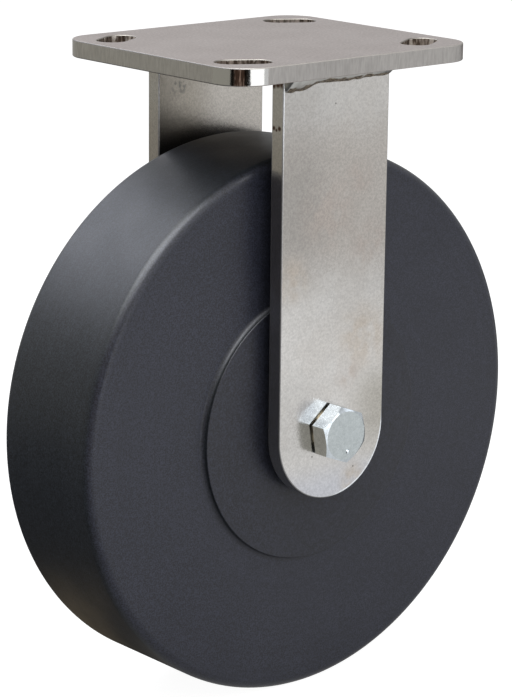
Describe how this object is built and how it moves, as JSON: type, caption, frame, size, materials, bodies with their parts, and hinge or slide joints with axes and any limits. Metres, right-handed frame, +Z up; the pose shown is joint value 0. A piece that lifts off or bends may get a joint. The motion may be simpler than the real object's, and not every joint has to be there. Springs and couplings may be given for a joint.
{
  "type": "fixed castor",
  "caption": "Rigid plate castor with a slotted top plate, two welded flat-bar legs and a solid wheel on a bolted roller bearing.",
  "frame": {"origin": "centre of the top plate's upper face, where the castor bolts on", "axes": "+Z up out of the plate's face, X along the rolling direction, Y along the axle with the bolt's head at -Y"},
  "size_m": [0.2052, 0.1079, 0.2423],
  "materials": {
    "plate_steel": "satin stainless, fine grain",
    "leg_steel": "semi-gloss stainless with a slight orange peel",
    "weld_metal": "rippled bead, brown at the toe",
    "wheel_nylon": "satin",
    "zinc_plate": "bright zinc plate",
    "bearing_steel": "ground",
    "cage_steel": "pressed sheet",
    "washer_steel": "satin",
    "insert_nylon": "plain"
  },
  "bodies": {
    "fork": {"top_plate": "plate_steel", "near_leg": "leg_steel", "far_leg": "leg_steel", "near_outer_weld": "weld_metal", "near_inner_weld": "weld_metal", "far_inner_weld": "weld_metal", "far_outer_weld": "weld_metal", "spanner_bushing": "bearing_steel", "near_thrust_washer": "washer_steel", "far_thrust_washer": "washer_steel", "axle_bolt": "zinc_plate", "axle_nut": "zinc_plate", "nut_insert": "insert_nylon"},
    "wheel": {"wheel": "wheel_nylon", "bearing_sleeve": "bearing_steel"},
    "cage": {"roller_cage": "cage_steel"},
    "roller_01": {"roller_01": "bearing_steel"},
    "roller_02": {"roller_02": "bearing_steel"},
    "roller_03": {"roller_03": "bearing_steel"},
    "roller_04": {"roller_04": "bearing_steel"},
    "roller_05": {"roller_05": "bearing_steel"},
    "roller_06": {"roller_06": "bearing_steel"},
    "roller_07": {"roller_07": "bearing_steel"},
    "roller_08": {"roller_08": "bearing_steel"},
    "roller_09": {"roller_09": "bearing_steel"},
    "roller_10": {"roller_10": "bearing_steel"}
  },
  "joints": [
    {"name": "wheel_spin", "type": "hinge", "parent": "fork", "child": "wheel", "pos_m": [0, 0, -0.1397], "axis": [0, 1, 0], "continuous": true},
    {"name": "cage_spin", "type": "hinge", "parent": "fork", "child": "cage", "pos_m": [0, 0, -0.1397], "axis": [0, 1, 0], "continuous": true},
    {"name": "roller_01_spin", "type": "hinge", "parent": "cage", "child": "roller_01", "pos_m": [0.01233, 0, -0.1397], "axis": [0, 1, 0], "continuous": true},
    {"name": "roller_02_spin", "type": "hinge", "parent": "cage", "child": "roller_02", "pos_m": [0.00998, 0, -0.13245], "axis": [0, 1, 0], "continuous": true},
    {"name": "roller_03_spin", "type": "hinge", "parent": "cage", "child": "roller_03", "pos_m": [0.00381, 0, -0.12797], "axis": [0, 1, 0], "continuous": true},
    {"name": "roller_04_spin", "type": "hinge", "parent": "cage", "child": "roller_04", "pos_m": [-0.00381, 0, -0.12797], "axis": [0, 1, 0], "continuous": true},
    {"name": "roller_05_spin", "type": "hinge", "parent": "cage", "child": "roller_05", "pos_m": [-0.00998, 0, -0.13245], "axis": [0, 1, 0], "continuous": true},
    {"name": "roller_06_spin", "type": "hinge", "parent": "cage", "child": "roller_06", "pos_m": [-0.01233, 0, -0.1397], "axis": [0, 1, 0], "continuous": true},
    {"name": "roller_07_spin", "type": "hinge", "parent": "cage", "child": "roller_07", "pos_m": [-0.00998, 0, -0.14695], "axis": [0, 1, 0], "continuous": true},
    {"name": "roller_08_spin", "type": "hinge", "parent": "cage", "child": "roller_08", "pos_m": [-0.00381, 0, -0.15143], "axis": [0, 1, 0], "continuous": true},
    {"name": "roller_09_spin", "type": "hinge", "parent": "cage", "child": "roller_09", "pos_m": [0.00381, 0, -0.15143], "axis": [0, 1, 0], "continuous": true},
    {"name": "roller_10_spin", "type": "hinge", "parent": "cage", "child": "roller_10", "pos_m": [0.00998, 0, -0.14695], "axis": [0, 1, 0], "continuous": true}
  ],
  "couplings": [
    {"joint": "cage_spin", "follows": "wheel_spin", "ratio": 0.61375},
    {"joint": "roller_01_spin", "follows": "wheel_spin", "ratio": 2.1133},
    {"joint": "roller_02_spin", "follows": "wheel_spin", "ratio": 2.1133},
    {"joint": "roller_03_spin", "follows": "wheel_spin", "ratio": 2.1133},
    {"joint": "roller_04_spin", "follows": "wheel_spin", "ratio": 2.1133},
    {"joint": "roller_05_spin", "follows": "wheel_spin", "ratio": 2.1133},
    {"joint": "roller_06_spin", "follows": "wheel_spin", "ratio": 2.1133},
    {"joint": "roller_07_spin", "follows": "wheel_spin", "ratio": 2.1133},
    {"joint": "roller_08_spin", "follows": "wheel_spin", "ratio": 2.1133},
    {"joint": "roller_09_spin", "follows": "wheel_spin", "ratio": 2.1133},
    {"joint": "roller_10_spin", "follows": "wheel_spin", "ratio": 2.1133}
  ]
}
